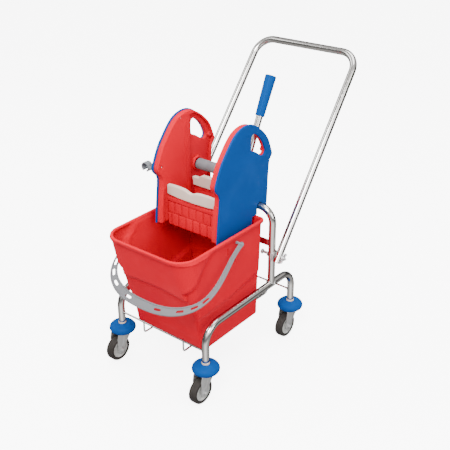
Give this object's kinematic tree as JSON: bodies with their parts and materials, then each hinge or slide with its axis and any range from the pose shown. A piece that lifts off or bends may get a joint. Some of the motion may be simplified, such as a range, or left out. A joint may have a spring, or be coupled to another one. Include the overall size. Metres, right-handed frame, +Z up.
{
  "type": "mop and bucket with wringer",
  "caption": "Wheeled chrome-frame cleaning trolley with a tapered plastic bucket, swing bail, lever press wringer and folding push handle.",
  "frame": {"origin": "on the floor at the centre of the footprint rectangle (bottom centre of the bounding box)", "axes": "+X to the right across the trolley, front towards -Y, push handle towards +Y, +Z up"},
  "size_m": [0.458, 0.8628, 0.9097],
  "materials": {
    "chrome": "bright chrome plate on steel tube and wire",
    "zinc": "dull zinc plate on pressed steel",
    "red_plastic": "moulded polypropylene, soft gloss",
    "blue_plastic": "moulded polypropylene, soft gloss",
    "grey_plastic": "moulded plastic, satin",
    "ivory_plastic": "moulded plastic, satin",
    "hub_plastic": "moulded plastic, satin",
    "tyre_rubber": "soft grey rubber, matt"
  },
  "bodies": {
    "frame": {"side_tube_left": "chrome", "side_tube_right": "chrome", "wringer_arch": "chrome", "front_cross_wire": "chrome", "rear_cross_wire": "chrome", "bucket_rail_left": "chrome", "bucket_rail_right": "chrome", "rear_strap": "chrome", "bumper_front_left": "blue_plastic", "bumper_front_right": "blue_plastic", "bumper_rear_left": "blue_plastic", "bumper_rear_right": "blue_plastic", "clamp_saddle_left": "zinc", "clamp_saddle_right": "zinc", "handle_bolt_left": "zinc", "handle_bolt_right": "zinc"},
    "swivel_front_left": {"fork_front_left": "zinc", "axle_front_left": "zinc"},
    "wheel_front_left": {"tyre_front_left": "tyre_rubber", "hub_front_left": "hub_plastic"},
    "swivel_front_right": {"fork_front_right": "zinc", "axle_front_right": "zinc"},
    "wheel_front_right": {"tyre_front_right": "tyre_rubber", "hub_front_right": "hub_plastic"},
    "swivel_rear_left": {"fork_rear_left": "zinc", "axle_rear_left": "zinc"},
    "wheel_rear_left": {"tyre_rear_left": "tyre_rubber", "hub_rear_left": "hub_plastic"},
    "swivel_rear_right": {"fork_rear_right": "zinc", "axle_rear_right": "zinc"},
    "wheel_rear_right": {"tyre_rear_right": "tyre_rubber", "hub_rear_right": "hub_plastic"},
    "handle": {"push_handle": "chrome"},
    "nut_left": {"wing_nut_left": "zinc"},
    "nut_right": {"wing_nut_right": "zinc"},
    "bucket": {"bucket": "red_plastic"},
    "bail": {"bail_handle": "grey_plastic"},
    "wringer": {"side_cover_left": "blue_plastic", "side_cover_right": "blue_plastic", "side_panel_left": "red_plastic", "side_panel_right": "red_plastic", "front_grille": "red_plastic", "front_lip": "ivory_plastic", "wringer_tray": "red_plastic", "mop_clip": "grey_plastic"},
    "press": {"press_plate": "red_plastic", "press_lip": "ivory_plastic"},
    "lever": {"wringer_shaft": "grey_plastic", "lever_tube": "chrome", "lever_grip": "blue_plastic"}
  },
  "joints": [
    {"name": "swivel_turn_front_left", "type": "hinge", "parent": "frame", "child": "swivel_front_left", "pos_m": [-0.175, -0.33905, 0.0985], "axis": [0, 0, 1], "continuous": true},
    {"name": "wheel_roll_front_left", "type": "hinge", "parent": "swivel_front_left", "child": "wheel_front_left", "pos_m": [-0.175, -0.36605, 0.041], "axis": [1, 0, 0], "continuous": true},
    {"name": "swivel_turn_front_right", "type": "hinge", "parent": "frame", "child": "swivel_front_right", "pos_m": [0.175, -0.33905, 0.0985], "axis": [0, 0, 1], "continuous": true},
    {"name": "wheel_roll_front_right", "type": "hinge", "parent": "swivel_front_right", "child": "wheel_front_right", "pos_m": [0.175, -0.36605, 0.041], "axis": [1, 0, 0], "continuous": true},
    {"name": "swivel_turn_rear_left", "type": "hinge", "parent": "frame", "child": "swivel_rear_left", "pos_m": [-0.175, 0.10495, 0.0985], "axis": [0, 0, 1], "continuous": true},
    {"name": "wheel_roll_rear_left", "type": "hinge", "parent": "swivel_rear_left", "child": "wheel_rear_left", "pos_m": [-0.175, 0.07795, 0.041], "axis": [1, 0, 0], "continuous": true},
    {"name": "swivel_turn_rear_right", "type": "hinge", "parent": "frame", "child": "swivel_rear_right", "pos_m": [0.175, 0.10495, 0.0985], "axis": [0, 0, 1], "continuous": true},
    {"name": "wheel_roll_rear_right", "type": "hinge", "parent": "swivel_rear_right", "child": "wheel_rear_right", "pos_m": [0.175, 0.07795, 0.041], "axis": [1, 0, 0], "continuous": true},
    {"name": "handle_fold", "type": "hinge", "parent": "frame", "child": "handle", "pos_m": [0, -0.01005, 0.3505], "axis": [1, 0, 0], "range_deg": [-20, 75]},
    {"name": "nut_turn_left", "type": "hinge", "parent": "frame", "child": "nut_left", "pos_m": [-0.218, -0.01005, 0.3505], "axis": [1, 0, 0], "range_deg": [-180, 180]},
    {"name": "nut_turn_right", "type": "hinge", "parent": "frame", "child": "nut_right", "pos_m": [0.218, -0.01005, 0.3505], "axis": [1, 0, 0], "range_deg": [-180, 180]},
    {"name": "bucket_lift", "type": "slide", "parent": "frame", "child": "bucket", "axis": [0, 0, 1], "range_m": [0, 0.4]},
    {"name": "bail_swing", "type": "hinge", "parent": "bucket", "child": "bail", "pos_m": [0, -0.16205, 0.4505], "axis": [-1, 0, 0], "range_deg": [-8, 110]},
    {"name": "wringer_lift", "type": "slide", "parent": "bucket", "child": "wringer", "axis": [0, 0, 1], "range_m": [0, 0.35]},
    {"name": "lever_pull", "type": "hinge", "parent": "wringer", "child": "lever", "pos_m": [0, -0.03305, 0.5975], "axis": [1, 0, 0], "range_deg": [0, 95], "stiffness_Nm_per_rad": 1.2, "springref_deg": -34.38},
    {"name": "press_slide", "type": "slide", "parent": "wringer", "child": "press", "axis": [0, -1, 0], "range_m": [0, 0.085]}
  ],
  "couplings": [
    {"joint": "press_slide", "follows": "lever_pull", "m_per_rad": 0.050963}
  ]
}
